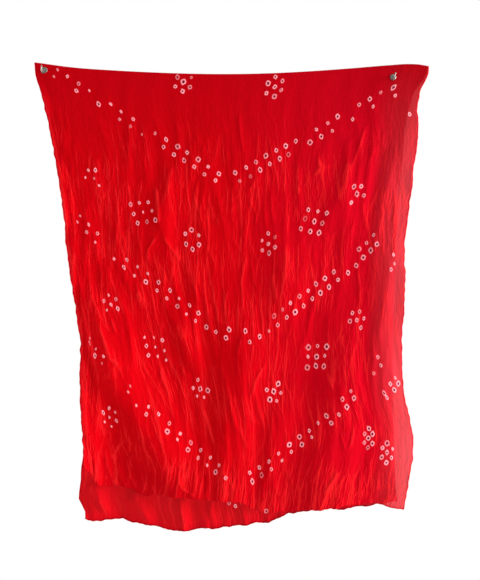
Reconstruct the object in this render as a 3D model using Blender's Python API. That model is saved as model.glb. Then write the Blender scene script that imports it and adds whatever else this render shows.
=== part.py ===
"""Bandhani cloth, folded double over its top edge and hung on two cup hooks.

Metres, +Z up, +X to the right and +Y towards the wall. The origin is on the axis of
the left hook's screw, half way between the two layers of cloth that it goes through.
The cloth is one sheet. It goes up in front from the front hem, over the top fold, and
down behind to the back hem.
"""

import math
from collections import namedtuple

import bmesh
import bpy
import numpy as np

MM = 0.001

# The cloth as a sheet
SHEET_THICKNESS = 1.2 * MM
FOLD_RADIUS = 2.5 * MM  # half the space between the layers at the top fold
COLUMNS = 41
FRONT_ROWS = 25
FOLD_ROWS = 4
BACK_ROWS = 20

# How the layers hang
BACK_SHARE = 0.35  # how much of each fold the back layer follows
FRONT_BELLY = 9 * MM  # how far the front layer stands off the back one at its hem
BELLY_FROM = -0.12  # height where the front layer starts to stand off
BELLY_REACH = 0.9  # how far below that it stands off fully

# The outlines, in millimetres from the left screw: z is up and x to the right
Edge = namedtuple("Edge", "z x")
FRONT_LEFT = (
    Edge(-1100, 97), Edge(-990, 97), Edge(-880, 92), Edge(-815, 86), Edge(-680, 86), Edge(-575, 73),
    Edge(-450, 55), Edge(-325, 40), Edge(-200, 23), Edge(-124, 8), Edge(-60, -7), Edge(-20, -20),
    Edge(22, -25),
)
FRONT_RIGHT = (
    Edge(-1100, 893), Edge(-1072, 899), Edge(-1024, 907), Edge(-974, 921), Edge(-900, 918),
    Edge(-830, 904), Edge(-700, 893), Edge(-525, 900), Edge(-450, 898), Edge(-325, 912),
    Edge(-225, 924), Edge(-150, 933), Edge(-85, 931), Edge(-50, 938), Edge(-10, 957), Edge(22, 959),
)
BACK_LEFT = (
    Edge(-1150, 112), Edge(-1110, 104), Edge(-1080, 89), Edge(-1010, 94), Edge(-900, 104),
    Edge(-700, 96), Edge(-450, 64), Edge(-200, 32), Edge(-60, -2), Edge(-20, -18), Edge(22, -25),
)
BACK_RIGHT = (
    Edge(-1150, 876), Edge(-1075, 878), Edge(-980, 872), Edge(-750, 868), Edge(-550, 872),
    Edge(-350, 880), Edge(-207, 894), Edge(-112, 904), Edge(-50, 926), Edge(-10, 952), Edge(22, 959),
)

# The top fold and the hems: across is 0 at the left edge and 1 at the right one
Line = namedtuple("Line", "across z")
TOP_FOLD = (
    Line(0, 20), Line(0.1, 7), Line(0.2, 0), Line(0.3, -5), Line(0.45, -9), Line(0.6, -7),
    Line(0.7, -2), Line(0.8, 5), Line(0.9, 13), Line(0.95, 15), Line(1, 8),
)
FRONT_HEM = (
    Line(0, -992), Line(0.05, -1038), Line(0.12, -1052), Line(0.22, -1060), Line(0.38, -1067),
    Line(0.5, -1087), Line(0.57, -1102), Line(0.72, -1094), Line(0.92, -1083), Line(1, -1095),
)
BACK_HEM = (
    Line(0, -1079), Line(0.03, -1120), Line(0.1, -1120), Line(0.17, -1134), Line(0.3, -1150),
    Line(0.46, -1137), Line(0.54, -1130), Line(0.58, -1136), Line(0.63, -1119), Line(0.7, -1104),
    Line(0.8, -1094), Line(1, -1076),
)

# The main folds, in millimetres. Each one's crest runs through three points, and rises from
# nothing at its top. It falls away over the left and the right width. Its end is the share
# of its length over which it dies out again, or 0 where it runs into the hem.
Fold = namedtuple("Fold", "top_x top_z mid_x mid_z low_x low_z left right height end")
FOLDS = {
    "left swag": Fold(98, -460, 183, -762, 322, -1045, 52, 92, 26, 0),
    "middle swag": Fold(490, -500, 484, -750, 456, -1010, 48, 72, 17, 0),
    "right swag": Fold(775, -480, 742, -800, 690, -1030, 62, 105, 19, 0),
    "left margin": Fold(88, -640, 93, -860, 97, -1000, 34, 36, 17, 0),
    "right margin": Fold(900, -150, 893, -560, 912, -960, 34, 40, 9, 0),
    "low right": Fold(612, -720, 590, -860, 560, -1020, 26, 38, 9, 0),
    "upper left": Fold(318, -210, 296, -330, 276, -470, 22, 34, 8, 0.4),
    "upper right": Fold(770, -200, 730, -340, 712, -450, 24, 34, 8, 0.4),
    "upper middle": Fold(600, -330, 598, -500, 590, -680, 36, 46, 8, 0.4),
    "short left": Fold(322, -560, 352, -680, 384, -800, 24, 34, 9, 0.4),
}
FOLD_RISE = 0.6  # the share of a fold's length over which it rises

# Cup hooks: a screw, a round collar and a bent wire in one
Spot = namedtuple("Spot", "x z turn")
HOOKS = {
    "left_cup_hook": Spot(0, 0, 2),
    "right_cup_hook": Spot(870 * MM, -18 * MM, 24),
}
SCREW_RADIUS = 1.5 * MM
SCREW_BEHIND = 25 * MM  # from the origin's plane to the screw's tip, in the wall
SCREW_POINT = 5 * MM
SCREW_END_RADIUS = 0.3 * MM
HOLE_CLEARANCE = 0.4 * MM
PUNCH_LENGTH = 20 * MM
COLLAR_RADIUS = 7.5 * MM
COLLAR_THICKNESS = 1.8 * MM
COLLAR_CHAMFER = 0.9 * MM
COLLAR_GAP = 0.4 * MM  # from the collar's back to the cloth
WIRE_RADIUS = 1.4 * MM
NECK = 2.2 * MM  # straight wire in front of the collar
FIRST_BEND = 4 * MM
CUP_RADIUS = 9 * MM
TIP_RISE = 9 * MM
TIP_ROUNDING = ((1, 1), (0.3, 0.72), (0, 0.3))  # wire radii below the end, and the share left
BEND_STEPS = 4
CUP_STEPS = 10
HOOK_SIDES = 12
SHARP_ANGLE = 40  # degrees

# Finishes: linear colours
COTTON_RED = (0.62, 0.003, 0.012)
COTTON_ROUGHNESS = 0.8
NICKEL = (0.55, 0.53, 0.50)
NICKEL_ROUGHNESS = 0.3


def smooth(table, at):
    """Value of a two-column table anywhere between its rows, on one smooth curve."""
    where, value = np.array(sorted(table), float).T
    slope = np.gradient(value, where)
    at = np.clip(at, where[0], where[-1])
    i = np.clip(np.searchsorted(where, at) - 1, 0, len(where) - 2)
    step = where[i + 1] - where[i]
    t = (at - where[i]) / step
    start = (1 + 2 * t) * (1 - t) ** 2 * value[i] + t * (1 - t) ** 2 * step * slope[i]
    return start + t * t * (3 - 2 * t) * value[i + 1] + t * t * (t - 1) * step * slope[i + 1]


def ramp(t):
    """Goes smoothly from 0 to 1 as t does, and stays there."""
    t = np.clip(t, 0, 1)
    return t * t * (3 - 2 * t)


def fold_height(x, z):
    """How far all the main folds together stand forward at a place."""
    total = np.zeros_like(x)
    for fold in FOLDS.values():
        rows = ((fold.low_z, fold.low_x), (fold.mid_z, fold.mid_x), (fold.top_z, fold.top_x))
        crest = smooth(rows, z / MM)
        off = x / MM - crest
        width = np.where(off < 0, fold.left, fold.right)
        length = fold.top_z - fold.low_z
        rise = ramp((fold.top_z - z / MM) / (FOLD_RISE * length))
        if fold.end:
            rise = rise * ramp((z / MM - fold.low_z) / (fold.end * length))
        total += fold.height * MM * rise * np.exp(-((off / width) ** 2))
    return total


def layer(across, down, left, right, hem):
    """Places on one layer's outline: down is 0 just under the top fold and 1 at the hem."""
    top = smooth(TOP_FOLD, across) * MM - FOLD_RADIUS
    low = smooth(hem, across) * MM
    z = top + (low - top) * down
    start = smooth(left, z / MM) * MM
    end = smooth(right, z / MM) * MM
    return start + (end - start) * across, z


def front_row(across, down):
    x, z = layer(across, down, FRONT_LEFT, FRONT_RIGHT, FRONT_HEM)
    belly = FRONT_BELLY * ramp((BELLY_FROM - z) / BELLY_REACH)
    return np.stack([x, -FOLD_RADIUS - fold_height(x, z) - belly, z], axis=1)


def back_row(across, down):
    x, z = layer(across, down, BACK_LEFT, BACK_RIGHT, BACK_HEM)
    return np.stack([x, FOLD_RADIUS - BACK_SHARE * fold_height(x, z), z], axis=1)


def fold_row(across, turn):
    """A row on the top fold: turn goes from 0 in front to half a circle behind."""
    x, z = layer(across, 0, FRONT_LEFT, FRONT_RIGHT, FRONT_HEM)
    y = np.full_like(x, -FOLD_RADIUS * math.cos(turn))
    return np.stack([x, y, z + FOLD_RADIUS * math.sin(turn)], axis=1)


def sheet_middle():
    """The sheet's middle surface, a row of points for each line across it."""
    across = np.linspace(0, 1, COLUMNS)
    rows = [front_row(across, 1 - i / FRONT_ROWS) for i in range(FRONT_ROWS + 1)]
    rows += [fold_row(across, math.pi * (i + 1) / (FOLD_ROWS + 1)) for i in range(FOLD_ROWS)]
    rows += [back_row(across, i / BACK_ROWS) for i in range(BACK_ROWS + 1)]
    return np.array(rows)


def sheet_normals(middle):
    along = np.gradient(middle, axis=0)
    over = np.gradient(middle, axis=1)
    normal = np.cross(over, along)
    return normal / np.linalg.norm(normal, axis=2, keepdims=True)


def material(name, colour, roughness, metallic):
    finish = bpy.data.materials.new(name)
    finish.use_nodes = True
    shader = finish.node_tree.nodes["Principled BSDF"]
    shader.inputs["Base Color"].default_value = (*colour, 1)
    shader.inputs["Roughness"].default_value = roughness
    shader.inputs["Metallic"].default_value = metallic
    return finish


def mesh_object(name, points, faces, finish):
    mesh = bpy.data.meshes.new(name)
    mesh.from_pydata([tuple(p) for p in points], [], faces)
    mesh.validate()
    shape = bmesh.new()
    shape.from_mesh(mesh)
    bmesh.ops.recalc_face_normals(shape, faces=shape.faces)
    shape.to_mesh(mesh)
    shape.free()
    mesh.shade_smooth()
    mesh.set_sharp_from_angle(angle=math.radians(SHARP_ANGLE))
    placed = bpy.data.objects.new(name, mesh)
    bpy.context.collection.objects.link(placed)
    placed.data.materials.append(finish)
    return placed


def make_cloth(finish):
    """The sheet with its thickness: an outer and an inner skin, joined round the edge."""
    middle = sheet_middle()
    normal = sheet_normals(middle)
    rows, columns = middle.shape[:2]
    skins = [middle + side * SHEET_THICKNESS / 2 * normal for side in (1, -1)]
    points = np.concatenate([skin.reshape(-1, 3) for skin in skins])
    inner = rows * columns

    def at(i, j):
        return i * columns + j

    faces = []
    for i in range(rows - 1):
        for j in range(columns - 1):
            quad = (at(i, j), at(i, j + 1), at(i + 1, j + 1), at(i + 1, j))
            faces.append(quad)
            faces.append(tuple(inner + k for k in reversed(quad)))
    rim = [at(0, j) for j in range(columns)]
    rim += [at(i, columns - 1) for i in range(1, rows)]
    rim += [at(rows - 1, j) for j in range(columns - 2, -1, -1)]
    rim += [at(i, 0) for i in range(rows - 2, 0, -1)]
    for here, after in zip(rim, rim[1:] + rim[:1]):
        faces.append((after, here, inner + here, inner + after))
    return mesh_object("bandhani_cloth", points, faces, finish)


def hook_stations():
    """The hook's middle line from the screw's tip to the wire's end, with its radius.

    Each station is y, z, the line's slope in degrees (0 is away from the wall and -90 is
    straight down) and the radius there.
    """
    face = -FOLD_RADIUS - SHEET_THICKNESS / 2 - COLLAR_GAP
    front = face - COLLAR_THICKNESS
    stations = [
        (SCREW_BEHIND, 0, 0, SCREW_END_RADIUS),
        (SCREW_BEHIND - SCREW_POINT, 0, 0, SCREW_RADIUS),
        (face, 0, 0, SCREW_RADIUS),
        (face, 0, 0, COLLAR_RADIUS),
        (front + COLLAR_CHAMFER, 0, 0, COLLAR_RADIUS),
        (front, 0, 0, COLLAR_RADIUS - COLLAR_CHAMFER),
        (front, 0, 0, WIRE_RADIUS),
    ]
    y = front - NECK
    for i in range(BEND_STEPS + 1):
        turn = 90 * i / BEND_STEPS
        out = FIRST_BEND * math.sin(math.radians(turn))
        drop = FIRST_BEND * (1 - math.cos(math.radians(turn)))
        stations.append((y - out, -drop, -turn, WIRE_RADIUS))
    centre_y = y - FIRST_BEND - CUP_RADIUS
    for i in range(1, CUP_STEPS + 1):
        turn = 180 * i / CUP_STEPS
        back = CUP_RADIUS * math.cos(math.radians(turn))
        drop = FIRST_BEND + CUP_RADIUS * math.sin(math.radians(turn))
        stations.append((centre_y + back, -drop, turn - 90, WIRE_RADIUS))
    end_y = centre_y - CUP_RADIUS
    top = TIP_RISE - FIRST_BEND
    for below, share in TIP_ROUNDING:
        stations.append((end_y, top - below * WIRE_RADIUS, 90, share * WIRE_RADIUS))
    return stations


def make_hooks(finish):
    """One closed body of rings along the hook's line, placed twice."""
    points, faces = [], []
    stations = hook_stations()
    for y, z, slope, radius in stations:
        lean = math.radians(slope)
        for k in range(HOOK_SIDES):
            angle = 2 * math.pi * k / HOOK_SIDES
            side, up = radius * math.cos(angle), radius * math.sin(angle)
            points.append((side, y + up * math.sin(lean), z + up * math.cos(lean)))
    for i in range(len(stations) - 1):
        for k in range(HOOK_SIDES):
            here, after = i * HOOK_SIDES + k, i * HOOK_SIDES + (k + 1) % HOOK_SIDES
            faces.append((here, after, after + HOOK_SIDES, here + HOOK_SIDES))
    last = (len(stations) - 1) * HOOK_SIDES
    faces.append(tuple(range(HOOK_SIDES)))
    faces.append(tuple(last + k for k in reversed(range(HOOK_SIDES))))
    first = mesh_object("left_cup_hook", points, faces, finish)
    second = bpy.data.objects.new("right_cup_hook", first.data)
    bpy.context.collection.objects.link(second)
    for hook in (first, second):
        spot = HOOKS[hook.name]
        hook.location = (spot.x, 0, spot.z)
        hook.rotation_euler = (0, math.radians(spot.turn), 0)
    return first, second


def pierce(cloth, hooks):
    """Cuts the hole that each screw makes through both layers."""
    for hook in hooks:
        bpy.ops.mesh.primitive_cylinder_add(
            vertices=HOOK_SIDES, radius=SCREW_RADIUS + HOLE_CLEARANCE, depth=PUNCH_LENGTH,
            location=hook.location, rotation=(math.pi / 2, 0, 0),
        )
        punch = bpy.context.object
        punch.name = hook.name + "_hole"
        punch.hide_render = True
        punch.display_type = "WIRE"
        cut = cloth.modifiers.new(punch.name, "BOOLEAN")
        cut.operation = "DIFFERENCE"
        cut.solver = "EXACT"
        cut.object = punch


for old in list(bpy.data.objects):
    bpy.data.objects.remove(old, do_unlink=True)
crinkled_cotton = material("crinkled red cotton", COTTON_RED, COTTON_ROUGHNESS, metallic=0)
nickel_plate = material("nickel-plated steel", NICKEL, NICKEL_ROUGHNESS, metallic=1)
pierce(make_cloth(crinkled_cotton), make_hooks(nickel_plate))
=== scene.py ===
import math
from collections import namedtuple

import bpy
import numpy as np
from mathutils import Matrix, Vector
from mathutils.kdtree import KDTree


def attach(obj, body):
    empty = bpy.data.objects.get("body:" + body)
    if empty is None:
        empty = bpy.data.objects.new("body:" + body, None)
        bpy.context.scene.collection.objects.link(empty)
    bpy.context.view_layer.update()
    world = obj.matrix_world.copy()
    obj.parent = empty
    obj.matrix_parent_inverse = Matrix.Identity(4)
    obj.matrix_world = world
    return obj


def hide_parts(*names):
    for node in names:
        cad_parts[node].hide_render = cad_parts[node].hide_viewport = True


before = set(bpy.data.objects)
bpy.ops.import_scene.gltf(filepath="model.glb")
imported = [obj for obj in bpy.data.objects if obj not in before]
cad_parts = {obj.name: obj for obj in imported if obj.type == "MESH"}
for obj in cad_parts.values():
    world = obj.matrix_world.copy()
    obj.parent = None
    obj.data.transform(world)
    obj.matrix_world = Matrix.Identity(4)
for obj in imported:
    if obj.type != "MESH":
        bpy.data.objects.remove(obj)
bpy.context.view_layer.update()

# The cloth. One sheet of thin crinkled cotton, dyed scarlet after it was tied in small
# knots, so that each knot left a pale ring. It is doubled over its top edge, and its
# four edges are turned in a narrow rolled hem.
MM = 0.001
FLAT_WIDTH = 0.99
FRONT_LENGTH = 1.082  # from the top fold to the front hem, along the sheet
BACK_LENGTH = 1.15
HALF_SPACE = 2.5 * MM  # half the space between the layers at the top fold
COLUMNS = 316
FRONT_ROWS = 208
FOLD_ROWS = 6
BACK_ROWS = 72
HEM_RADIUS = 1.3 * MM
HEM_STEPS = 5

# The outlines in millimetres from the left screw, x to the right and z up
Edge = namedtuple("Edge", "z x")
FRONT_LEFT = (
    Edge(-1100, 104), Edge(-990, 104), Edge(-880, 99), Edge(-815, 94), Edge(-680, 92),
    Edge(-575, 76), Edge(-450, 57), Edge(-400, 53), Edge(-325, 44), Edge(-200, 23), Edge(-124, 8),
    Edge(-60, -7), Edge(-20, -20), Edge(22, -25),
)
FRONT_RIGHT = (
    Edge(-1100, 890), Edge(-1072, 897), Edge(-1024, 905), Edge(-974, 915), Edge(-900, 916),
    Edge(-830, 898), Edge(-700, 889), Edge(-525, 898), Edge(-450, 898), Edge(-325, 912),
    Edge(-225, 924), Edge(-150, 933), Edge(-85, 931), Edge(-50, 938), Edge(-10, 957), Edge(22, 959),
)
BACK_LEFT = (
    Edge(-1150, 108), Edge(-1118, 104), Edge(-1095, 101), Edge(-1076, 89), Edge(-1048, 89),
    Edge(-1010, 92), Edge(-900, 104), Edge(-700, 96), Edge(-450, 64), Edge(-200, 32),
    Edge(-60, -2), Edge(-20, -18), Edge(22, -25),
)
BACK_RIGHT = (
    Edge(-1150, 876), Edge(-1075, 878), Edge(-980, 872), Edge(-750, 868), Edge(-550, 872),
    Edge(-350, 880), Edge(-207, 894), Edge(-112, 904), Edge(-50, 926), Edge(-10, 952), Edge(22, 959),
)
Line = namedtuple("Line", "across z")
TOP_FOLD = (
    Line(0, 20), Line(0.1, 7), Line(0.2, 0), Line(0.3, -5), Line(0.45, -9), Line(0.6, -7),
    Line(0.7, -2), Line(0.8, 5), Line(0.9, 13), Line(0.95, 16), Line(0.975, 15), Line(1, 11),
)
FRONT_HEM = (
    Line(0, -985), Line(0.025, -1008), Line(0.042, -1033), Line(0.057, -1030), Line(0.085, -1034),
    Line(0.1, -1031), Line(0.126, -1038), Line(0.15, -1040), Line(0.165, -1051), Line(0.19, -1057),
    Line(0.22, -1052), Line(0.27, -1056), Line(0.4, -1065), Line(0.45, -1068), Line(0.5, -1079),
    Line(0.57, -1098), Line(0.65, -1093), Line(0.72, -1088), Line(0.8, -1083), Line(0.88, -1075),
    Line(0.92, -1077), Line(0.97, -1088), Line(1, -1092),
)
BACK_HEM = (
    Line(0, -1118), Line(0.025, -1124), Line(0.06, -1122), Line(0.11, -1119), Line(0.17, -1130),
    Line(0.23, -1137), Line(0.3, -1148), Line(0.34, -1145), Line(0.38, -1140), Line(0.42, -1142),
    Line(0.45, -1136), Line(0.53, -1131), Line(0.55, -1127), Line(0.58, -1130), Line(0.63, -1112),
    Line(0.7, -1100), Line(0.8, -1094), Line(1, -1076),
)

# The main folds in millimetres: a crest through three points, with its width on each side
Fold = namedtuple("Fold", "top_x top_z mid_x mid_z low_x low_z left right height end")
FOLDS = (
    Fold(98, -460, 183, -762, 338, -1045, 52, 92, 26, 0),
    Fold(490, -500, 484, -750, 456, -1010, 48, 72, 17, 0),
    Fold(775, -480, 742, -800, 690, -1030, 62, 105, 19, 0),
    Fold(88, -640, 93, -860, 97, -1000, 34, 58, 18, 0),
    Fold(870, -150, 844, -560, 850, -960, 34, 60, 7, 0),
    Fold(612, -720, 590, -860, 560, -1020, 26, 38, 9, 0),
    Fold(318, -210, 296, -330, 276, -470, 22, 34, 8, 0.4),
    Fold(770, -200, 730, -340, 712, -450, 24, 34, 8, 0.4),
    Fold(600, -330, 598, -500, 590, -680, 36, 46, 8, 0.4),
    Fold(322, -560, 352, -680, 384, -800, 24, 34, 9, 0.4),
)

# Creases of the front layer in millimetres. Each runs through three places, and stands
# proud by its height, or lies back where that is negative.
Crease = namedtuple("Crease", "top_x top_z mid_x mid_z low_x low_z width height")
CREASES = (
    Crease(277, -274, 283, -347, 288, -402, 7, 3.6),
    Crease(288, -402, 257, -452, 259, -489, 6, 3.0),
    Crease(288, -406, 317, -444, 344, -487, 6, 3.0),
    Crease(375, -287, 374, -340, 377, -394, 6, 2.4),
    Crease(125, -347, 127, -365, 128, -384, 5, 1.6),
    Crease(190, -399, 197, -428, 202, -457, 6, 2.2),
    Crease(148, -357, 151, -372, 155, -389, 5, 1.6),
    Crease(154, -484, 160, -517, 165, -549, 6, 2.2),
    Crease(199, -502, 201, -520, 202, -537, 5, 1.8),
    Crease(225, -523, 236, -554, 243, -584, 6, 2.4),
    Crease(298, -504, 299, -533, 296, -562, 6, 2.2),
    Crease(68, -442, 73, -514, 82, -549, 6, 2.2),
    Crease(484, -102, 488, -152, 500, -232, 6, 2.4),
    Crease(455, -189, 458, -236, 459, -284, 6, 2.0),
    Crease(539, -258, 521, -286, 500, -310, 5, 2.0),
    Crease(399, -179, 395, -203, 393, -227, 5, 1.8),
    Crease(378, -277, 379, -297, 383, -317, 5, 1.6),
    Crease(632, -224, 633, -273, 635, -322, 6, 2.4),
    Crease(608, -247, 610, -265, 610, -284, 5, 1.6),
    Crease(677, -209, 684, -228, 689, -246, 5, 2.2),
    Crease(689, -246, 679, -256, 668, -269, 5, 2.0),
    Crease(715, -243, 702, -243, 689, -246, 5, 1.8),
    Crease(804, -131, 790, -179, 756, -272, 7, 2.8),
    Crease(843, -145, 845, -176, 846, -207, 5, 1.8),
    Crease(875, -184, 874, -210, 870, -237, 5, 1.8),
    Crease(812, -195, 817, -204, 820, -212, 5, 1.5),
    Crease(829, -193, 824, -203, 820, -212, 5, 1.5),
    Crease(775, -162, 765, -179, 749, -188, 5, 1.6),
    Crease(919, -224, 915, -273, 910, -322, 6, 2.0),
    Crease(374, -314, 388, -357, 390, -404, 6, 2.4),
    Crease(433, -314, 438, -340, 440, -364, 6, 2.2),
    Crease(440, -364, 435, -373, 428, -382, 5, 1.6),
    Crease(440, -364, 444, -371, 448, -379, 5, 1.6),
    Crease(486, -322, 489, -352, 489, -382, 5, 2.0),
    Crease(503, -309, 530, -362, 525, -394, 6, 2.4),
    Crease(467, -410, 475, -431, 486, -452, 5, 2.0),
    Crease(563, -287, 568, -354, 573, -394, 6, 2.4),
    Crease(548, -342, 550, -365, 551, -389, 5, 1.6),
    Crease(632, -287, 634, -317, 637, -347, 5, 1.8),
    Crease(506, -442, 491, -530, 498, -633, 7, 3.0),
    Crease(518, -479, 522, -527, 537, -557, 6, 2.4),
    Crease(563, -489, 577, -557, 582, -584, 6, 2.4),
    Crease(374, -527, 380, -560, 383, -592, 6, 2.2),
    Crease(458, -537, 450, -585, 446, -633, 6, 2.4),
    Crease(772, -369, 766, -400, 762, -429, 6, 2.2),
    Crease(790, -317, 799, -367, 803, -417, 6, 2.6),
    Crease(844, -347, 836, -387, 830, -427, 6, 2.2),
    Crease(875, -299, 873, -354, 866, -409, 6, 3.0),
    Crease(779, -479, 786, -549, 782, -577, 6, 2.4),
    Crease(693, -409, 704, -425, 714, -442, 5, 1.8),
    Crease(128, -604, 170, -719, 202, -742, 8, 3.4),
    Crease(165, -614, 176, -641, 185, -667, 6, 2.4),
    Crease(288, -734, 296, -772, 326, -834, 7, 3.0),
    Crease(298, -679, 309, -711, 321, -742, 6, 2.6),
    Crease(340, -738, 353, -757, 367, -777, 6, 2.2),
    Crease(492, -662, 486, -690, 482, -719, 6, 2.4),
    Crease(555, -724, 530, -767, 506, -839, 7, 3.0),
    Crease(506, -862, 524, -876, 543, -887, 5, 2.0),
    Crease(482, -874, 497, -919, 511, -949, 6, 2.6),
    Crease(569, -829, 568, -882, 564, -934, 6, 2.6),
    Crease(389, -829, 410, -887, 433, -958, 7, 3.2),
    Crease(433, -829, 442, -899, 456, -942, 6, 2.6),
    Crease(820, -624, 816, -694, 820, -734, 6, 2.4),
    Crease(734, -894, 740, -924, 750, -953, 6, 2.4),
    Crease(772, -869, 763, -917, 750, -953, 6, 2.6),
    Crease(700, -747, 710, -775, 719, -804, 6, 2.2),
    Crease(332, -997, 345, -1034, 390, -1061, 7, 3.0),
    Crease(402, -992, 401, -1025, 398, -1057, 7, -3.0),
    Crease(446, -1014, 448, -1036, 450, -1057, 6, 2.2),
    Crease(438, -987, 458, -1012, 475, -1049, 6, 2.6),
    Crease(570, -1022, 578, -1044, 587, -1067, 6, 2.4),
    Crease(599, -982, 613, -1019, 623, -1039, 6, 2.6),
    Crease(736, -987, 713, -1022, 686, -1061, 8, 4.0),
    Crease(787, -994, 785, -1044, 792, -1072, 6, 2.6),
    Crease(826, -989, 829, -1017, 822, -1063, 6, 2.6),
    Crease(727, -1063, 739, -1073, 750, -1082, 5, 2.0),
    Crease(895, -1017, 886, -1043, 875, -1067, 6, 2.6),
    Crease(99, -905, 103, -969, 122, -1031, 6, 2.6),
    Crease(124, -960, 133, -995, 141, -1036, 5, 1.9),
    Crease(150, -925, 161, -985, 180, -1041, 6, 2.8),
    Crease(182, -980, 192, -1010, 209, -1050, 5, 2.0),
    Crease(206, -962, 218, -1012, 240, -1060, 6, 2.8),
    Crease(262, -1005, 270, -1030, 282, -1062, 6, 2.2),
    Crease(325, -224, 309, -290, 288, -362, 14, 2.4),
    Crease(125, -199, 130, -280, 138, -362, 14, 2.2),
    Crease(468, -324, 471, -362, 476, -399, 12, 2.0),
    Crease(688, -212, 686, -268, 683, -324, 14, 2.2),
    Crease(763, -212, 746, -280, 725, -349, 15, 2.5),
    Crease(600, -424, 602, -486, 600, -549, 15, 2.4),
    Crease(225, -549, 238, -574, 250, -599, 13, 2.1),
    Crease(325, -624, 338, -655, 350, -687, 14, 2.2),
    Crease(338, -449, 350, -486, 363, -524, 14, 2.2),
    Crease(213, -349, 219, -386, 225, -424, 14, 2.1),
    Crease(725, -699, 721, -749, 713, -799, 15, 2.5),
    Crease(36, -230, 50, -330, 60, -440, 6, 2.6),
    Crease(80, -560, 88, -640, 93, -720, 6, 2.6),
)

# Short folds of the back layer over its hem, which stand forward
BACK_CREASES = (
    Crease(118, -1025, 136, -1066, 158, -1118, 17, 15),
    Crease(208, -1048, 236, -1082, 278, -1140, 20, 20),
    Crease(338, -1040, 342, -1090, 350, -1160, 11, 16),
    Crease(424, -1035, 412, -1092, 404, -1155, 11, 8),
    Crease(486, -1050, 493, -1090, 508, -1150, 11, 8),
    Crease(566, -1065, 560, -1100, 556, -1145, 9, 5),
)

# How far the small crinkles lean at the hem, in millimetres across the sheet
Lean = namedtuple("Lean", "across lean")
LEANS = (
    Lean(0, 0), Lean(70, 25), Lean(180, 75), Lean(290, 115), Lean(400, 85), Lean(480, 35),
    Lean(560, 0), Lean(660, -34), Lean(780, -24), Lean(900, 0), Lean(990, 0),
)

# Crinkles of the whole sheet, coarse to fine, in millimetres
Crinkle = namedtuple("Crinkle", "wide long height seed")
CRINKLES = (
    Crinkle(62, 280, 3.5, 3),
    Crinkle(29, 120, 0.8, 11),
    Crinkle(13, 50, 0.4, 29),
)

# The knots, in millimetres across and down the flat sheet. A row of them is given at every
# third knot, each knot has a partner beside it, and a few of either came out too faint.
Row = namedtuple("Row", "places beside gone partners_gone")
ROWS = (
    Row(((454, 252), (371, 202), (290, 156), (208, 105), (134, 54), (57, 8)),
        (-10, 20), (7, 11), (6, 10, 12, 14)),
    Row(((501, 249), (583, 204), (661, 169), (749, 131), (836, 92), (918, 55)),
        (11, 21), (7, 11), (6, 10, 12, 14)),
    Row(((474, 650), (387, 611), (305, 560), (214, 502), (129, 452), (55, 387)),
        (-9, 21), (1, 2, 11, 12), (12,)),
    Row(((525, 647), (609, 600), (682, 559), (759, 518), (836, 472), (898, 422)),
        (12, 22), (1, 2, 11, 12), ()),
    Row(((457, 1007), (374, 963), (284, 900), (200, 835), (119, 769), (50, 712)),
        (-6, 18), (0, 9, 11, 12), (7, 11, 12)),
    Row(((522, 1002), (602, 936), (690, 888), (774, 836), (852, 783), (914, 722)),
        (8, 18), (9, 12, 13, 14), (7, 12, 13)),
)


def smooth(table, at):
    """Value of a two-column table anywhere between its rows, on one smooth curve."""
    where, value = np.array(sorted(table), float).T
    slope = np.gradient(value, where)
    at = np.clip(at, where[0], where[-1])
    i = np.clip(np.searchsorted(where, at) - 1, 0, len(where) - 2)
    step = where[i + 1] - where[i]
    t = (at - where[i]) / step
    start = (1 + 2 * t) * (1 - t) ** 2 * value[i] + t * (1 - t) ** 2 * step * slope[i]
    return start + t * t * (3 - 2 * t) * value[i + 1] + t * t * (t - 1) * step * slope[i + 1]


def ramp(t):
    """Goes smoothly from 0 to 1 as t does, and stays there."""
    t = np.clip(t, 0, 1)
    return t * t * (3 - 2 * t)


def uneven(x, y, seed):
    """Smooth seeded unevenness between about -1 and 1, with hills about one unit apart."""
    angles = np.random.default_rng(seed).uniform(0, 2 * math.pi, (97, 89))
    i, j = np.floor(x).astype(int), np.floor(y).astype(int)
    fx, fy = x - i, y - j
    wx, wy = fx**3 * (fx * (6 * fx - 15) + 10), fy**3 * (fy * (6 * fy - 15) + 10)
    total = 0
    for a in (0, 1):
        for b in (0, 1):
            angle = angles[(i + a) % 97, (j + b) % 89]
            slope = np.cos(angle) * (fx - a) + np.sin(angle) * (fy - b)
            total = total + slope * (wx if a else 1 - wx) * (wy if b else 1 - wy)
    return 1.5 * total


def fold_height(x, z):
    """How far the main folds together stand forward at a place, in metres."""
    total = np.zeros_like(x)
    for fold in FOLDS:
        rows = ((fold.low_z, fold.low_x), (fold.mid_z, fold.mid_x), (fold.top_z, fold.top_x))
        off = x / MM - smooth(rows, z / MM)
        width = np.where(off < 0, fold.left, fold.right)
        length = fold.top_z - fold.low_z
        rise = ramp((fold.top_z - z / MM) / (0.6 * length))
        if fold.end:
            rise = rise * ramp((z / MM - fold.low_z) / (fold.end * length))
        total += fold.height * MM * rise * np.exp(-((off / width) ** 2))
    return total


def layer(across, down, left, right, hem):
    """Places on one layer's outline: down is 0 just under the top fold and 1 at the hem."""
    top = smooth(TOP_FOLD, across) * MM - HALF_SPACE
    low = smooth(hem, across) * MM
    z = top + (low - top) * down
    start = smooth(left, z / MM) * MM
    end = smooth(right, z / MM) * MM
    return start + (end - start) * across, z


def front_row(across, down):
    x, z = layer(across, down, FRONT_LEFT, FRONT_RIGHT, FRONT_HEM)
    belly = 10 * MM * ramp((-0.12 - z) / 0.9)
    margin = 4.5 * MM * ramp((x / MM - 850) / 65) * ramp((-0.1 - z) / 0.25)
    return np.stack([x, margin - HALF_SPACE - fold_height(x, z) - belly, z], axis=1)


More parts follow.
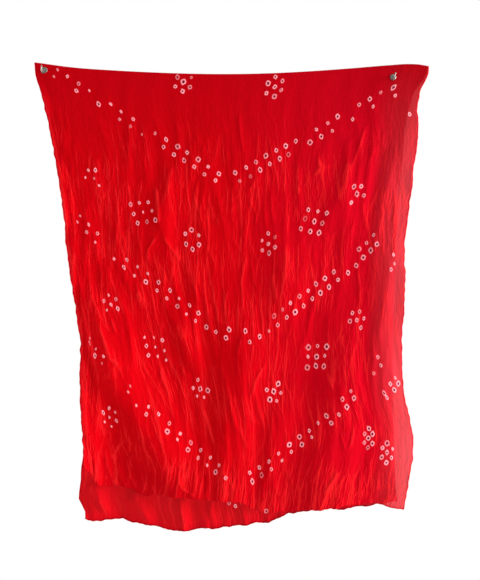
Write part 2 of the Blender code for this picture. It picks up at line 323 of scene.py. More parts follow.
def back_row(across, down):
    x, z = layer(across, down, BACK_LEFT, BACK_RIGHT, BACK_HEM)
    return np.stack([x, HALF_SPACE - 0.35 * fold_height(x, z), z], axis=1)


def fold_row(across, turn):
    x, z = layer(across, 0, FRONT_LEFT, FRONT_RIGHT, FRONT_HEM)
    y = np.full_like(x, -HALF_SPACE * math.cos(turn))
    return np.stack([x, y, z + HALF_SPACE * math.sin(turn)], axis=1)


def evenly(row, place):
    """A row's points at even distances along its folds, as the threads lie."""
    fine = np.linspace(0, 1, 601)
    run = np.linalg.norm(np.diff(row(fine, place), axis=0), axis=1)
    along = np.concatenate([[0], np.cumsum(run)])
    return row(np.interp(np.linspace(0, along[-1], COLUMNS), along, fine), place)


def crease_height(creases, x, z):
    """Height of the listed creases, in metres, with soft ends and a soft crest."""
    total = np.zeros_like(x)
    for crease in creases:
        ends = np.array([crease[0:2], crease[2:4], crease[4:6]], float) * MM
        reach = 4 * crease.width * MM
        low, high = ends.min(axis=0) - reach, ends.max(axis=0) + reach
        near = (x > low[0]) & (x < high[0]) & (z > low[1]) & (z < high[1])
        best = np.full(near.sum(), 1e9)
        share = np.zeros_like(best)
        for k in (0, 1):
            run = ends[k + 1] - ends[k]
            away = np.stack([x[near], z[near]], axis=1) - ends[k]
            t = np.clip(away @ run / (run @ run), 0, 1)
            off = np.linalg.norm(away - t[:, None] * run, axis=1)
            share = np.where(off < best, (k + t) / 2, share)
            best = np.minimum(best, off)
        shape = np.exp(0.7 - 1.8 * np.sqrt((best / (crease.width * MM)) ** 2 + 0.15))
        ends_fade = ramp(share / 0.25) * ramp((1 - share) / 0.3)
        total[near] += crease.height * MM * shape * ends_fade
    return total


def crinkle_line(across, down, seed):
    """Distance across the sheet in metres, followed along the leaning, swaying crinkles."""
    lean = smooth(LEANS, across / MM) * MM * ramp((np.abs(down) - 0.45) / 0.6)
    return across - lean + 9 * MM * uneven(across / 0.12, down / 0.16, seed + 1)


def crinkle_height(across, down, seed):
    """Height of the fine crinkles in metres. Their crests are sharp and branch like a Y."""
    line = crinkle_line(across, down, seed)
    total = 0
    for crinkle in CRINKLES:
        wide, long = crinkle.wide * MM, crinkle.long * MM
        hills = uneven(line / wide, down / long, seed + crinkle.seed)
        crest = 1 - np.sqrt(hills**2 * 4 + 0.02)
        patchy = 0.75 + 0.5 * uneven(across / 0.15, down / 0.2, seed + crinkle.seed + 1)
        total = total + crinkle.height * MM * crest * patchy
    return total * (0.22 + 0.78 * ramp((np.abs(down) - 0.05) / 0.2))


# Places of the threads: front hem to back hem, each row from left to right
front_downs = np.linspace(1, 0, FRONT_ROWS)
back_downs = np.linspace(0, 1, BACK_ROWS)
turns = np.pi * np.arange(1, FOLD_ROWS + 1) / (FOLD_ROWS + 1)
rows = [evenly(front_row, down) for down in front_downs]
rows += [evenly(fold_row, turn) for turn in turns]
rows += [evenly(back_row, down) for down in back_downs]
sheet = np.array(rows)
downs = np.concatenate([front_downs * FRONT_LENGTH, turns * 0, -back_downs * BACK_LENGTH])
across_flat, down_flat = np.meshgrid(np.linspace(0, FLAT_WIDTH, COLUMNS), downs)
in_front = (np.arange(len(rows)) < FRONT_ROWS)[:, None]

# The free edges waver in and out and flutter a little, the right one less to and fro
from_left, from_right = across_flat, FLAT_WIDTH - across_flat
for distance, seed, way in ((from_left, 51, -1), (from_right, 57, 1)):
    near = np.exp(-((distance / 0.035) ** 2)) * ramp(np.abs(down_flat) / 0.1)
    bites = uneven(down_flat / 0.045, down_flat * 0, seed)
    bites += 0.8 * uneven(down_flat / 0.017, down_flat * 0, seed + 1)
    sheet[..., 0] += way * 2.4 * MM * near * bites
    flutter = uneven(down_flat / 0.07, distance / 0.05, seed + 2)
    sheet[..., 1] += (3.5 if way < 0 else 1.6) * MM * near * flutter * np.where(in_front, 1, -0.3)
for hem_at, seed in ((FRONT_LENGTH, 61), (-BACK_LENGTH, 67)):
    near = np.exp(-((down_flat - hem_at) / 0.05) ** 2)
    dips = uneven(across_flat / 0.04, down_flat * 0, seed)
    dips += 0.5 * uneven(across_flat / 0.014, down_flat * 0, seed + 1)
    sheet[..., 2] += 3.5 * MM * near * dips
    sheet[..., 1] -= 3 * MM * near * (0.6 + uneven(across_flat / 0.045, down_flat * 0, seed + 2))

# Crinkles and creases stand out square to the folds. Only part of a front crease's height is
# here, and its sharp crest is in the cotton's relief. The back layer's crinkles stand away
# from the front layer, more so near its hem.
over = np.gradient(sheet, axis=1)
along = np.gradient(sheet, axis=0)
outward = np.cross(over, along)
outward /= np.linalg.norm(outward, axis=2, keepdims=True)
ahead = crinkle_height(across_flat, down_flat, 100)
ahead = ahead + 0.62 * crease_height(CREASES, sheet[..., 0], sheet[..., 2])
at_hem = ramp((np.abs(down_flat) - 1.02) / 0.06)
behind = 1.1 * crinkle_height(across_flat, down_flat, 300) - 3 * MM
behind = np.minimum(behind, 0.5 * MM) * (1 + 0.8 * at_hem)
behind = behind - crease_height(BACK_CREASES, sheet[..., 0], sheet[..., 2])
height = np.where(in_front, ahead, behind) * ramp(np.abs(down_flat) / 0.02)
sheet = sheet + height[..., None] * outward


def roll_edge(points, beside, outward_end, flat, flat_beside):
    """Extra lines of points that turn a free edge in behind itself, as a rolled hem."""
    out = points - beside
    out /= np.linalg.norm(out, axis=1, keepdims=True)
    lines, flats = [], []
    for k in range(1, HEM_STEPS + 1):
        turn = 1.75 * math.pi * k / HEM_STEPS
        reach = HEM_RADIUS * math.sin(turn)
        tuck = HEM_RADIUS * (1 - math.cos(turn))
        lines.append(points + reach * out - tuck * outward_end)
        step = (flat - flat_beside) / np.linalg.norm(flat - flat_beside, axis=1, keepdims=True)
        flats.append(flat + step * HEM_RADIUS * turn)
    return lines, flats


flat = np.stack([across_flat, down_flat], axis=2)
left, left_flat = roll_edge(sheet[:, 0], sheet[:, 1], outward[:, 0], flat[:, 0], flat[:, 1])
right, right_flat = roll_edge(sheet[:, -1], sheet[:, -2], outward[:, -1], flat[:, -1], flat[:, -2])
sheet = np.stack(left[::-1] + list(sheet.swapaxes(0, 1)) + right, axis=1)
flat = np.stack(left_flat[::-1] + list(flat.swapaxes(0, 1)) + right_flat, axis=1)
outward = np.cross(np.gradient(sheet, axis=1), np.gradient(sheet, axis=0))
outward /= np.linalg.norm(outward, axis=2, keepdims=True) + 1e-12
low, low_flat = roll_edge(sheet[0], sheet[1], outward[0], flat[0], flat[1])
high, high_flat = roll_edge(sheet[-1], sheet[-2], outward[-1], flat[-1], flat[-2])
sheet = np.stack(low[::-1] + list(sheet) + high)
flat = np.stack(low_flat[::-1] + list(flat) + high_flat)
crest = np.where(
    flat[..., 1] > 0, crease_height(CREASES, sheet[..., 0], sheet[..., 2]) / (3 * MM), 0)

# Where the rolled hems are darker, partly deeper dye in their layers and partly painted shade of the
# roll: at the selvedges, and less at the two ends
in_hem = np.ones(crest.shape)
in_hem[:, HEM_STEPS + 1 : -HEM_STEPS - 1] = 0.35
in_hem[HEM_STEPS + 1 : -HEM_STEPS - 1, HEM_STEPS + 1 : -HEM_STEPS - 1] = 0

# The knots' places on the flat sheet
chance = np.random.default_rng(7)
knots = []
for row in ROWS:
    thirds, count = np.arange(0, 16, 3), np.arange(0, 16)
    across = smooth([(n, place[0]) for n, place in zip(thirds, row.places)], count)
    down = smooth([(n, place[1]) for n, place in zip(thirds, row.places)], count)
    for n in count:
        if n not in row.gone:
            knots.append((across[n], down[n]))
        if n not in row.partners_gone:
            knots.append((across[n] + row.beside[0], down[n] + row.beside[1]))

# Small motifs between the rows: rings of six round one, squares of nine, and what the right
# selvedge left of others. A ring that lies in a gather is squeezed, and 6 is its middle knot.
Ring = namedtuple("Ring", "across down lean squeeze gone", defaults=(1, ()))
RING_WIDE = 21
RING_TALL = 24
RINGS = (
    Ring(375, 20, 4), Ring(608, 33, -6), Ring(105, 286, -35, 1, (2, 4)),
    Ring(838, 317, -24, 1, (3, 5)), Ring(376, 424, 0, 1, (6,)), Ring(596, 421, -8),
    Ring(126, 614, -14, 1, (3,)), Ring(853, 630, -35, 1, (4,)), Ring(382, 806, -25, 1, (1,)),
    Ring(603, 786, -20, 1, (0,)), Ring(106, 905, -4), Ring(858, 921, 4, 0.6),
    Ring(912, 957, -3, 0.8), Ring(484, -1080, 8),
)
Square = namedtuple("Square", "across down lean tilt")
SQUARE_WIDE = 26
SQUARE_TALL = 24
SQUARES = (
    Square(238, 362, 0.4, -4), Square(722, 374, -0.35, 7), Square(252, 710, 0.2, 4.5),
    Square(734, 710, -0.15, 0),
)
knots += [
    (969, 119), (955, 467), (961, 487), (946, 505), (925, 807), (947, 783), (967, 763), (934, 819),
    (959, 795), (973, 779), (581, 1078),
]
for ring in RINGS:
    turns = [math.radians(60 * k + ring.lean) for k in range(6) if k not in ring.gone]
    knots += [
        (ring.across + RING_WIDE * ring.squeeze * math.sin(turn),
         ring.down - RING_TALL * math.cos(turn))
        for turn in turns
    ]
    if 6 not in ring.gone:
        knots.append((ring.across, ring.down))
for square in SQUARES:
    for i in (-1, 0, 1):
        for k in (-1, 0, 1):
            across = square.across + SQUARE_WIDE * i + SQUARE_TALL * square.lean * k
            knots.append((across, square.down + SQUARE_TALL * k + square.tilt * i))
knots = np.array(knots)

# The pattern repeats, so that most of it comes again on the back layer. Its third row's
# middle isn't repeated, and no knot is nearer to a selvedge than a tie can be.
REPEAT = 1220
LOWEST_BEHIND = -1040
SELVEDGE = 14
again = knots[knots[:, 1] > 0] - (0, REPEAT)
knots = np.concatenate([knots, again[again[:, 1] > LOWEST_BEHIND]])
knots = knots[(knots[:, 0] > SELVEDGE) & (knots[:, 0] < FLAT_WIDTH / MM - SELVEDGE)]
knots += chance.uniform(-1.8, 1.8, knots.shape)

# Each knot's own strength, radius, turn, narrowness, and how far its middle is closed. Those
# to the left were tied larger and closed more.
to_left = ramp(1 - knots[:, 0] / 620)
strength = np.clip(chance.normal(0.9, 0.24, len(knots)), 0.25, 1)
larger = 0.8 * ramp(knots[:, 0] / 900) + 1.5 * to_left
size = (chance.uniform(7.4, 9.4, len(knots)) + larger) * MM
turned = chance.uniform(-0.5, 0.5, len(knots))
squash = chance.uniform(0.95, 1.35, len(knots)) + 0.12 * to_left
closed = np.clip(chance.uniform(-0.1, 0.3, len(knots)) + 0.22 * to_left, 0, 0.42)

# The mesh
row_count, column_count = sheet.shape[:2]
index = np.arange(row_count * column_count).reshape(row_count, column_count)
quads = np.stack(
    [index[:-1, :-1], index[:-1, 1:], index[1:, 1:], index[1:, :-1]], axis=2
).reshape(-1, 4)
cloth_mesh = bpy.data.meshes.new("bandhani_sheet")
cloth_mesh.from_pydata(sheet.reshape(-1, 3).tolist(), [], quads.tolist())
cloth_mesh.shade_smooth()
cloth = bpy.data.objects.new("bandhani_sheet", cloth_mesh)
bpy.context.collection.objects.link(cloth)

flat_points = flat.reshape(-1, 2)
on_sheet = cloth_mesh.attributes.new("on_sheet", "FLOAT_VECTOR", "POINT")
on_sheet.data.foreach_set("vector", np.c_[flat_points, flat_points[:, 0] * 0].ravel())
line_points = crinkle_line(flat_points[:, 0], flat_points[:, 1], 100)
along_crinkles = cloth_mesh.attributes.new("along_crinkles", "FLOAT_VECTOR", "POINT")
line_places = np.c_[line_points, flat_points[:, 1], line_points * 0]
along_crinkles.data.foreach_set("vector", line_places.ravel())
creased = cloth_mesh.attributes.new("creased", "FLOAT", "POINT")
creased.data.foreach_set("value", crest.ravel())
hemmed = cloth_mesh.attributes.new("hemmed", "FLOAT", "POINT")
hemmed.data.foreach_set("value", in_hem.ravel())
nearest = KDTree(len(knots))
for number, (a, d) in enumerate(knots * MM):
    nearest.insert((a, d, 0), number)
nearest.balance()
centres = flat_points[quads].mean(axis=1)
own = np.array([nearest.find((a, d, 0))[1] for a, d in centres])
knot_place = cloth_mesh.attributes.new("knot_place", "FLOAT_VECTOR", "FACE")
knot_place.data.foreach_set("vector", np.c_[knots[own] * MM, strength[own]].ravel())
knot_form = cloth_mesh.attributes.new("knot_form", "FLOAT_VECTOR", "FACE")
knot_form.data.foreach_set("vector", np.c_[size[own], turned[own], squash[own]].ravel())
knot_closed = cloth_mesh.attributes.new("knot_closed", "FLOAT", "FACE")
knot_closed.data.foreach_set("value", closed[own])


def linear(colour):
    """An sRGB hex colour as the linear red, green, blue and alpha that a shader takes."""
    parts = [int(colour[i : i + 2], 16) / 255 for i in (1, 3, 5)]
    return (*[c / 12.92 if c <= 0.04045 else ((c + 0.055) / 1.055) ** 2.4 for c in parts], 1)


def add(tree, kind, inputs=None, **settings):
    """Adds a shader node with its settings, and links or sets its inputs."""
    made = tree.nodes.new("ShaderNode" + kind)
    for name, value in settings.items():
        setattr(made, name, value)
    for socket, value in (inputs or {}).items():
        if isinstance(value, bpy.types.NodeSocket):
            tree.links.new(value, made.inputs[socket])
        else:
            made.inputs[socket].default_value = value
    return made


# Crinkled cotton mull, plain woven and vat dyed: matt, with a soft bloom where it turns to
# the light, and thin enough to let a little of what is behind it through.
cotton = bpy.data.materials.new("scarlet crinkled cotton mull")
cotton.use_nodes = True
tree = cotton.node_tree
tree.nodes.clear()
place = add(tree, "Attribute", attribute_name="on_sheet").outputs["Vector"]
knot = add(tree, "Attribute", attribute_name="knot_place").outputs["Vector"]
form = add(tree, "Attribute", attribute_name="knot_form").outputs["Vector"]
shut = add(tree, "Attribute", attribute_name="knot_closed").outputs["Fac"]
line = add(tree, "Attribute", attribute_name="along_crinkles").outputs["Vector"]
crease = add(tree, "Attribute", attribute_name="creased").outputs["Fac"]
hem = add(tree, "Attribute", attribute_name="hemmed").outputs["Fac"]
place_parts = add(tree, "SeparateXYZ", {0: place})

# Facets that the mesh is too coarse for, with sharp crests where they meet: long ones 34 mm
# wide, and two finer kinds. They come in patches, die out towards the top fold and are
# stronger at both ends. A crest counts as upright by how much the distance to it changes
# over a small step to the side, in millimetres.
SIDE_STEP = 1.5
CELLS = {"voronoi_dimensions": "2D", "feature": "DISTANCE_TO_EDGE"}
kinks = add(tree, "TexNoise", {"Vector": place, "Scale": 1 / 0.035, "Detail": 2.0})
kinked = add(tree, "VectorMath", {
    0: kinks.outputs["Color"], 1: (8 * MM, 14 * MM, 0), 2: line}, operation="MULTIPLY_ADD")
ridges, upright, facets = [], [], []
for wide, long, sharp, tall, slope, shift in (
        (34, 170, 18, 0.42, -1.2, 0), (12, 55, 9, 0.33, -0.8, 3.7), (6, 24, 5, 0.15, -0.4, 8.1)):
    stretched = add(tree, "Mapping", {
        "Vector": kinked.outputs[0], "Scale": (1 / (wide * MM), 1 / (long * MM), 1),
        "Location": (shift, shift, 0)})
    apart = add(tree, "TexVoronoi", {"Vector": stretched.outputs[0], "Scale": 1.0}, **CELLS)
    fall = add(tree, "Math", {0: apart.outputs["Distance"], 1: -sharp}, operation="MULTIPLY")
    ridges.append(add(tree, "Math", {0: fall.outputs[0]}, operation="EXPONENT").outputs[0])
    beside = add(tree, "VectorMath", {
        0: stretched.outputs[0], 1: (SIDE_STEP / wide, 0, 0)}, operation="ADD")
    apart_there = add(tree, "TexVoronoi", {"Vector": beside.outputs[0], "Scale": 1.0}, **CELLS)
    change = add(tree, "Math", {
        0: apart_there.outputs["Distance"], 1: apart.outputs["Distance"]}, operation="SUBTRACT")
    steep = add(tree, "Math", {0: change.outputs[0]}, operation="ABSOLUTE")
    steep_share = add(tree, "Math", {
        0: steep.outputs[0], 1: 1.3 * wide / SIDE_STEP}, operation="MULTIPLY")
    upright.append(add(tree, "Math", {
        0: ridges[-1], 1: steep_share.outputs[0]}, operation="MULTIPLY").outputs[0])
    down_slope = add(tree, "Math", {0: apart.outputs["Distance"], 1: slope}, operation="MULTIPLY")
    facets.append(add(tree, "Math", {
        0: ridges[-1], 1: tall, 2: down_slope.outputs[0]}, operation="MULTIPLY_ADD").outputs[0])
short = add(tree, "Mapping", {"Vector": line, "Scale": (1 / (6 * MM), 1 / (17 * MM), 1)})
hills = add(tree, "TexNoise", {
    "Vector": short.outputs[0], "Scale": 1.0, "Detail": 1.0, "Distortion": 0.5})
off = add(tree, "Math", {0: hills.outputs["Fac"], 1: 0.5}, operation="SUBTRACT")
off_size = add(tree, "Math", {0: off.outputs[0]}, operation="ABSOLUTE")
fall = add(tree, "Math", {0: off_size.outputs[0], 1: -10.0}, operation="MULTIPLY")
hair = add(tree, "Math", {0: fall.outputs[0]}, operation="EXPONENT")
facets.append(add(tree, "Math", {0: hair.outputs[0], 1: 0.12}, operation="MULTIPLY").outputs[0])
patch_noise = add(tree, "TexNoise", {"Vector": place, "Scale": 1 / 0.11, "Detail": 1.0})
patchy = add(tree, "MapRange", {0: patch_noise.outputs["Fac"], 1: 0.38, 2: 0.6, 3: 0.3, 4: 1.0})
from_fold = add(tree, "Math", {0: place_parts.outputs[1]}, operation="ABSOLUTE")
lower = add(tree, "MapRange", {0: from_fold.outputs[0], 1: 0.06, 2: 0.3, 3: 0.15, 4: 1.0})
sharp_crease = add(tree, "Math", {0: crease, 1: 3.0}, operation="POWER")
near_hem = add(tree, "MapRange", {0: from_fold.outputs[0], 1: 0.96, 2: 1.06, 3: 1.0, 4: 1.6})
lowest = add(tree, "Math", {0: lower.outputs[0], 1: near_hem.outputs[0]}, operation="MULTIPLY")
much = add(tree, "Math", {0: patchy.outputs[0], 1: lowest.outputs[0]}, operation="MULTIPLY")

# Dye takes unevenly in patches about 90 mm across, and along slubby threads
patches = add(tree, "TexNoise", {"Vector": place, "Scale": 1 / 0.09, "Detail": 3.0})
threads = add(tree, "Mapping", {"Vector": place, "Scale": (1 / 0.003, 1 / 0.04, 1)})
slubs = add(tree, "TexNoise", {"Vector": threads.outputs[0], "Scale": 1.0, "Detail": 2.0})
dye = add(tree, "Math", {0: patches.outputs["Fac"], 1: slubs.outputs["Fac"]}, operation="ADD")
dyed = add(tree, "ValToRGB", {"Fac": add(
    tree, "Math", {0: dye.outputs[0], 1: 0.5}, operation="MULTIPLY").outputs[0]})
dyed.color_ramp.elements[0].position = 0.3
dyed.color_ramp.elements[0].color = linear("#BF000B")
dyed.color_ramp.elements[1].position = 0.7
dyed.color_ramp.elements[1].color = linear("#CB010D")

# The red has a painted cool cast of the right window, growing towards the right, and painted
# light in the right margin, where the window shines through the single layer. Painted shade lies
# under the top fold, most at its right corner, and at both ends. Upright crests are paler: a
# painted highlight where the window rakes them, partly rubbed too; less so on the back layer.
to_right = add(tree, "MapRange", {0: place_parts.outputs[0], 1: 0.45, 2: 0.95})
# Painted cool cast of the right window's light, strongest near the top fold
cool_light_share = add(tree, "MapRange", {0: from_fold.outputs[0], 1: 0.0, 2: 0.5, 3: 1.0, 4: 0.7})
cool = add(tree, "Math", {0: to_right.outputs[0], 1: cool_light_share.outputs[0]}, operation="MULTIPLY")
cool_light_cast = add(tree, "Mix", {
    0: cool.outputs[0], 6: dyed.outputs["Color"], 7: linear("#C80220")}, data_type="RGBA")
# Painted shade under the top fold, darkest at its right corner
top_shade_at_right = add(tree, "MapRange", {0: place_parts.outputs[0], 1: 0.72, 2: 0.96, 3: 0.5, 4: 1.0})
top_shade = add(tree, "MapRange", {
    0: from_fold.outputs[0], 1: 0.0, 2: 0.3, 3: top_shade_at_right.outputs[0], 4: 0.0})
# Painted shade at both ends: near the front hem and on the back layer's strip below it
shade_at_ends = add(tree, "MapRange", {0: from_fold.outputs[0], 1: 0.96, 2: 1.07, 3: 0.0, 4: 0.42})
painted_shade_share = add(tree, "Math", {0: top_shade.outputs[0], 1: shade_at_ends.outputs[0]}, operation="ADD")
# Upright crests and creases paler: a painted highlight where the window rakes them, partly rubbed
# too
main_crests = add(tree, "Math", {
    0: upright[1], 1: 0.7, 2: upright[0]}, operation="MULTIPLY_ADD")
all_crests = add(tree, "Math", {
    0: upright[2], 1: 0.35, 2: main_crests.outputs[0]}, operation="MULTIPLY_ADD")
# The painted crest highlight is weaker on the back layer
highlight_layer_share = add(tree, "MapRange", {0: place_parts.outputs[1], 1: -0.02, 2: 0.02, 3: 0.4, 4: 1.0})
highlight_much = add(tree, "Math", {0: highlight_layer_share.outputs[0], 1: much.outputs[0]}, operation="MULTIPLY")
crests = add(tree, "Math", {
    0: all_crests.outputs[0], 1: highlight_much.outputs[0]}, operation="MULTIPLY")
crest_highlight = add(tree, "Math", {
    0: sharp_crease.outputs[0], 1: 0.7, 2: crests.outputs[0]}, operation="MULTIPLY_ADD")
crest_highlight_share = add(tree, "MapRange", {0: crest_highlight.outputs[0], 1: 0.25, 2: 0.9, 3: 0.0, 4: 0.68})
# Painted light in the right margin, where the window shines through the single layer
margin_light_share = add(tree, "MapRange", {0: place_parts.outputs[0], 1: 0.88, 2: 0.955, 3: 0.0, 4: 0.9})
margin_lit = add(tree, "Mix", {
    0: margin_light_share.outputs[0], 6: cool_light_cast.outputs[2], 7: linear("#C12833")}, data_type="RGBA")
# Mixes in the painted shade
painted_shade = add(tree, "Mix", {
    0: painted_shade_share.outputs[0], 6: margin_lit.outputs[2], 7: linear("#A9000E")}, data_type="RGBA")
crest_lit = add(tree, "Mix", {
    0: crest_highlight_share.outputs[0], 6: painted_shade.outputs[2], 7: linear("#E81F23")}, data_type="RGBA")
# Rolled hems darker: partly deeper dye in the layers, partly painted shade of the roll
hem_dye_and_shade = add(tree, "Mix", {
    0: hem, 6: crest_lit.outputs[2], 7: linear("#B40010")}, data_type="RGBA")

# A knot kept the dye off a ring about 13 mm across, and a little got in at its middle
from_knot = add(tree, "VectorMath", {0: place, 1: knot}, operation="SUBTRACT")
knot_parts = add(tree, "SeparateXYZ", {0: knot})
form_parts = add(tree, "SeparateXYZ", {0: form})
spun = add(tree, "VectorRotate", {
    "Vector": from_knot.outputs[0], "Angle": form_parts.outputs[1]}, rotation_type="Z_AXIS")
sides = add(tree, "SeparateXYZ", {0: spun.outputs[0]})
widened = add(tree, "Math", {0: sides.outputs[0], 1: form_parts.outputs[2]}, operation="MULTIPLY")
powers = []
for side in (widened.outputs[0], sides.outputs[1]):
    size_of = add(tree, "Math", {0: side}, operation="ABSOLUTE")
    scaled = add(tree, "Math", {0: size_of.outputs[0], 1: form_parts.outputs[0]}, operation="DIVIDE")
    powers.append(add(tree, "Math", {0: scaled.outputs[0], 1: 1.5}, operation="POWER"))
both = add(tree, "Math", {0: powers[0].outputs[0], 1: powers[1].outputs[0]}, operation="ADD")
ring = add(tree, "Math", {0: both.outputs[0], 1: 1 / 1.5}, operation="POWER")
ragged = add(tree, "TexNoise", {"Vector": place, "Scale": 1 / 0.003, "Detail": 2.0})
ragged_ring = add(tree, "Math", {
    0: ragged.outputs["Fac"], 1: 0.45, 2: ring.outputs[0]}, operation="MULTIPLY_ADD")
less_shut = add(tree, "Math", {0: shut, 1: 0.22}, operation="SUBTRACT")
undyed = add(tree, "ValToRGB", {"Fac": add(
    tree, "Math", {0: ragged_ring.outputs[0], 1: less_shut.outputs[0]}).outputs[0]})
stops = undyed.color_ramp.elements
stops[0].position = 0.34
stops[0].color = (*linear("#700820")[:3], 1)
stops[1].position = 0.93
stops[1].color = (*linear("#D82A34")[:3], 0)
for position, colour in ((0.54, "#FFA0AC"), (0.74, "#FFA6AE")):
    stop = stops.new(position)
    stop.color = linear(colour)
shown = add(tree, "Math", {
    0: undyed.outputs["Alpha"], 1: knot_parts.outputs[2]}, operation="MULTIPLY")
colour = add(tree, "Mix", {
    0: shown.outputs[0], 6: hem_dye_and_shade.outputs[2], 7: undyed.outputs["Color"]}, data_type="RGBA")

# Crepe, the sharp crests, and the small peak that a knot leaves, in millimetres
crepe_place = add(tree, "Mapping", {"Vector": place, "Scale": (1 / 0.007, 1 / 0.024, 1)})
crepe = add(tree, "TexNoise", {
    "Vector": crepe_place.outputs[0], "Scale": 1.0, "Detail": 3.0, "Roughness": 0.55,
    "Distortion": 0.6})
peak = add(tree, "Math", {0: ring.outputs[0], 1: -1.2}, operation="MULTIPLY")
peaked = add(tree, "Math", {0: peak.outputs[0]}, operation="EXPONENT")
crepe_tall = add(tree, "Math", {0: crepe.outputs["Fac"], 1: 0.45}, operation="MULTIPLY")
so_far = add(tree, "Math", {
    0: sharp_crease.outputs[0], 1: 0.7, 2: crepe_tall.outputs[0]}, operation="MULTIPLY_ADD")
for facet in facets:
    so_far = add(tree, "Math", {
        0: facet, 1: much.outputs[0], 2: so_far.outputs[0]}, operation="MULTIPLY_ADD")
relief = add(tree, "Math", {
    0: peaked.outputs[0], 1: 0.7, 2: so_far.outputs[0]}, operation="MULTIPLY_ADD")
bumped = add(tree, "Bump", {"Height": relief.outputs[0], "Strength": 1.0, "Distance": MM})

thread_gloss = add(tree, "MapRange", {0: slubs.outputs["Fac"], 3: 0.68, 4: 0.86})
cloth_surface = add(tree, "BsdfPrincipled", {
    "Base Color": colour.outputs[2], "Roughness": thread_gloss.outputs[0],
    "Specular IOR Level": 0.02, "Sheen Weight": 0.01, "Sheen Roughness": 0.4,
    "Sheen Tint": linear("#FFB0A8"), "Normal": bumped.outputs[0]})
glow = add(tree, "BsdfTranslucent", {"Color": colour.outputs[2], "Normal": bumped.outputs[0]})
lit = add(tree, "MixShader", {
    0: 0.24, 1: cloth_surface.outputs[0], 2: glow.outputs[0]})

# The weave is open by 0.4%, and by 2 to 6% from the top to the foot of the right selvedge,
# and it is shut in the rolled hem
sheer_most = add(tree, "MapRange", {
    0: place_parts.outputs[1], 1: 0.7, 2: 0.95, 3: 0.018, 4: 0.06})
sheer = add(tree, "MapRange", {
    0: place_parts.outputs[0], 1: 0.86, 2: 0.98, 3: 0.004, 4: sheer_most.outputs[0]})
open_weave = add(tree, "MapRange", {0: hem, 1: 0.0, 2: 1.0, 3: sheer.outputs[0], 4: 0.0})
gaps = add(tree, "BsdfTransparent")
whole = add(tree, "MixShader", {
    0: open_weave.outputs[0], 1: lit.outputs[0], 2: gaps.outputs[0]})
add(tree, "OutputMaterial", {"Surface": whole.outputs[0]})
cloth_mesh.materials.append(cotton)

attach(cloth, "root")
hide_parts("bandhani_cloth")

# The two cup hooks. Each is steel wire, bent to a J, with a pressed collar and a cut
# screw thread, all plated with nickel. The screws go through both layers of the cloth.
HOOK_SIDES = 32
Spot = namedtuple("Spot", "name node x z turn")
SPOTS = (
    Spot("left_hook_plated", "left_cup_hook", 0, 0, 2),
    Spot("right_hook_plated", "right_cup_hook", 870, -18, 24),
)
WIRE = 1.4
BEND = 4
CUP = 9
BEND_START = -7.5

# Place and radius of each ring of the screw and the collar, from the screw's tip, in millimetres
PROFILE = (
    (25, 0.25), (20, 1.45), (-3.5, 1.45), (-3.5, 6.9), (-3.7, 7.4), (-4.1, 7.5), (-4.4, 7.3),
    (-4.75, 6.5), (-5.05, 5.2), (-5.25, 3.6), (-5.3, 2.3), (-5.6, 1.75), (-6.0, 1.4),
)


def hook_rings():
    """Centre, slope in degrees and radius of each ring of the hook, in millimetres."""
    rings = [(y, 0, 0, radius) for y, radius in PROFILE]
    for i in range(0, 9):
        turn = math.radians(90 * i / 8)
        across, down = BEND * math.sin(turn), BEND * (1 - math.cos(turn))
        rings.append((BEND_START - across, -down, -90 * i / 8, WIRE))
    middle = BEND_START - BEND - CUP
    for i in range(1, 21):
        turn = math.radians(180 * i / 20)
        across, down = CUP * math.cos(turn), BEND + CUP * math.sin(turn)
        rings.append((middle + across, -down, 9 * i - 90, WIRE))
    for below, share in ((2, 1), (1.4, 1), (0.9, 0.93), (0.45, 0.74), (0.12, 0.42), (0, 0.1)):
        rings.append((middle - CUP, 5 - below, 90, WIRE * share))
    return rings


# Bright nickel over steel: a clear reflection, dulled by handling marks
nickel = bpy.data.materials.new("bright nickel plate")
nickel.use_nodes = True
tree = nickel.node_tree
tree.nodes.clear()
where = add(tree, "TexCoord").outputs["Object"]
marks = add(tree, "TexNoise", {"Vector": where, "Scale": 1 / 0.004, "Detail": 4.0})
dulled = add(tree, "MapRange", {0: marks.outputs["Fac"], 3: 0.26, 4: 0.46})
# The plate's colour is kept dark: painted shade for the dark room it would reflect, varied by the
# handling marks
dark_room_tone = add(tree, "ValToRGB", {"Fac": marks.outputs["Fac"]})
dark_room_tone.color_ramp.elements[0].color = linear("#5C5752")
dark_room_tone.color_ramp.elements[1].color = linear("#8E8A84")
plate = add(tree, "BsdfPrincipled", {
    "Base Color": dark_room_tone.outputs["Color"], "Metallic": 1.0, "Roughness": dulled.outputs[0]})
add(tree, "OutputMaterial", {"Surface": plate.outputs[0]})

for spot in SPOTS:
    points = []
    rings = hook_rings()
    for y, z, slope, radius in rings:
        lean = math.radians(slope)
        for k in range(HOOK_SIDES):
            angle = 2 * math.pi * k / HOOK_SIDES
            side, up = radius * math.cos(angle), radius * math.sin(angle)
            spot_y, spot_z = y + up * math.sin(lean), z + up * math.cos(lean)
            points.append((side * MM, spot_y * MM, spot_z * MM))
    index = np.arange(len(points)).reshape(len(rings), HOOK_SIDES)
    after = np.roll(index, -1, axis=1)
    faces = np.stack([index[:-1], after[:-1], after[1:], index[1:]], axis=2).reshape(-1, 4)
    hook_mesh = bpy.data.meshes.new(spot.name)
    ends = [index[0].tolist(), index[-1].tolist()[::-1]]
    hook_mesh.from_pydata(points, [], faces.tolist() + ends)
    hook_mesh.shade_smooth()
    hook_mesh.set_sharp_from_angle(angle=math.radians(50))
    hook = bpy.data.objects.new(spot.name, hook_mesh)
    bpy.context.collection.objects.link(hook)
    hook.location = (spot.x * MM, 0, spot.z * MM)
    hook.rotation_euler = (0, math.radians(spot.turn), 0)
    hook_mesh.materials.append(nickel)
    bpy.context.view_layer.update()
    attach(hook, "root")
    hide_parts(spot.node)

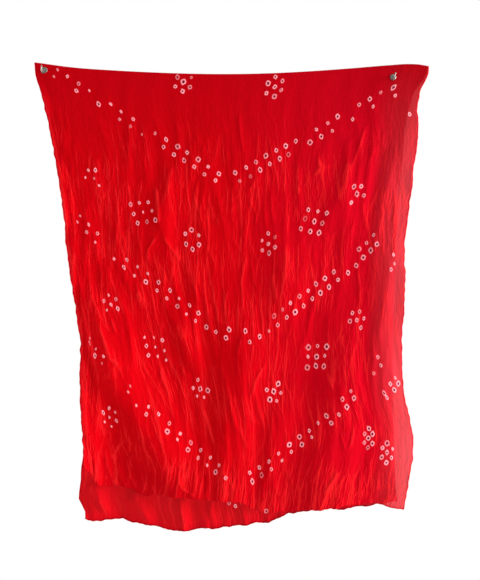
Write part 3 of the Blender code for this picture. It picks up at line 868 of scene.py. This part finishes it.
# The studio: a pale floor below the cloth, lit by a large window at its right, and by a
# second one behind that shows the back layer's crinkles
FLOOR_Z = -1.78
floor_mesh = bpy.data.meshes.new("studio_floor")
floor_mesh.from_pydata(
    [(x, y, FLOOR_Z) for x, y in ((-1.5, -2.4), (2.5, -2.4), (2.5, 1.15), (-1.5, 1.15))],
    [], [(0, 1, 2, 3)],
)
floor = bpy.data.objects.new("studio_floor", floor_mesh)
bpy.context.collection.objects.link(floor)
floor_paint = bpy.data.materials.new("pale matt floor")
floor_paint.use_nodes = True
painted = floor_paint.node_tree.nodes["Principled BSDF"]
painted.inputs["Base Color"].default_value = linear("#E8E8E6")
painted.inputs["Roughness"].default_value = 0.9
floor_mesh.materials.append(floor_paint)

# The room: white where it is seen, and dimmer where it falls on the cloth, most of all from
# the front and from the left
world = bpy.data.worlds.new("studio")
world.use_nodes = True
bpy.context.scene.world = world
tree = world.node_tree
tree.nodes.clear()
seen = add(tree, "LightPath").outputs["Is Camera Ray"]
towards = add(tree, "SeparateXYZ", {0: add(tree, "TexCoord").outputs["Generated"]})
depth = add(tree, "MapRange", {0: towards.outputs[1], 1: -1.0, 2: 1.0, 3: 0.83, 4: 1.15})
around = add(tree, "Math", {
    0: towards.outputs[0], 1: 0.4, 2: depth.outputs[0]}, operation="MULTIPLY_ADD")
strength_seen = add(tree, "MapRange", {0: seen, 3: around.outputs[0], 4: 1.0})
sky = add(tree, "Background", {"Color": (1, 1, 1, 1), "Strength": strength_seen.outputs[0]})
add(tree, "OutputWorld", {"Surface": sky.outputs[0]})

Lamp = namedtuple("Lamp", "name place aim width height power")
LAMPS = (
    Lamp("window", (7.4, -1.25, 0.2), (0.45, 0, -0.62), 2.6, 4.0, 1050),
    Lamp("rear_window", (-6.2, 1.3, 0.3), (0.45, 0, -0.62), 2.2, 3.2, 1000),
)
for lamp in LAMPS:
    light = bpy.data.lights.new(lamp.name, "AREA")
    light.shape = "RECTANGLE"
    light.size = lamp.width
    light.size_y = lamp.height
    light.energy = lamp.power
    stand = bpy.data.objects.new(lamp.name, light)
    bpy.context.collection.objects.link(stand)
    stand.location = lamp.place
    aim = Vector(lamp.aim) - Vector(lamp.place)
    stand.rotation_euler = aim.to_track_quat("-Z", "Y").to_euler()

# The camera stands 1.9 m in front of the cloth, level with its middle
camera_data = bpy.data.cameras.new("camera")
camera_data.sensor_fit = "VERTICAL"
camera_data.sensor_height = 24
camera_data.lens = 24 * 1.9 / 1.45
camera = bpy.data.objects.new("camera", camera_data)
bpy.context.collection.objects.link(camera)
camera.location = (0.488, -1.9, -0.549)
camera.rotation_euler = (math.pi / 2, 0, 0)
bpy.context.scene.camera = camera
bpy.context.scene.view_settings.view_transform = "Standard"
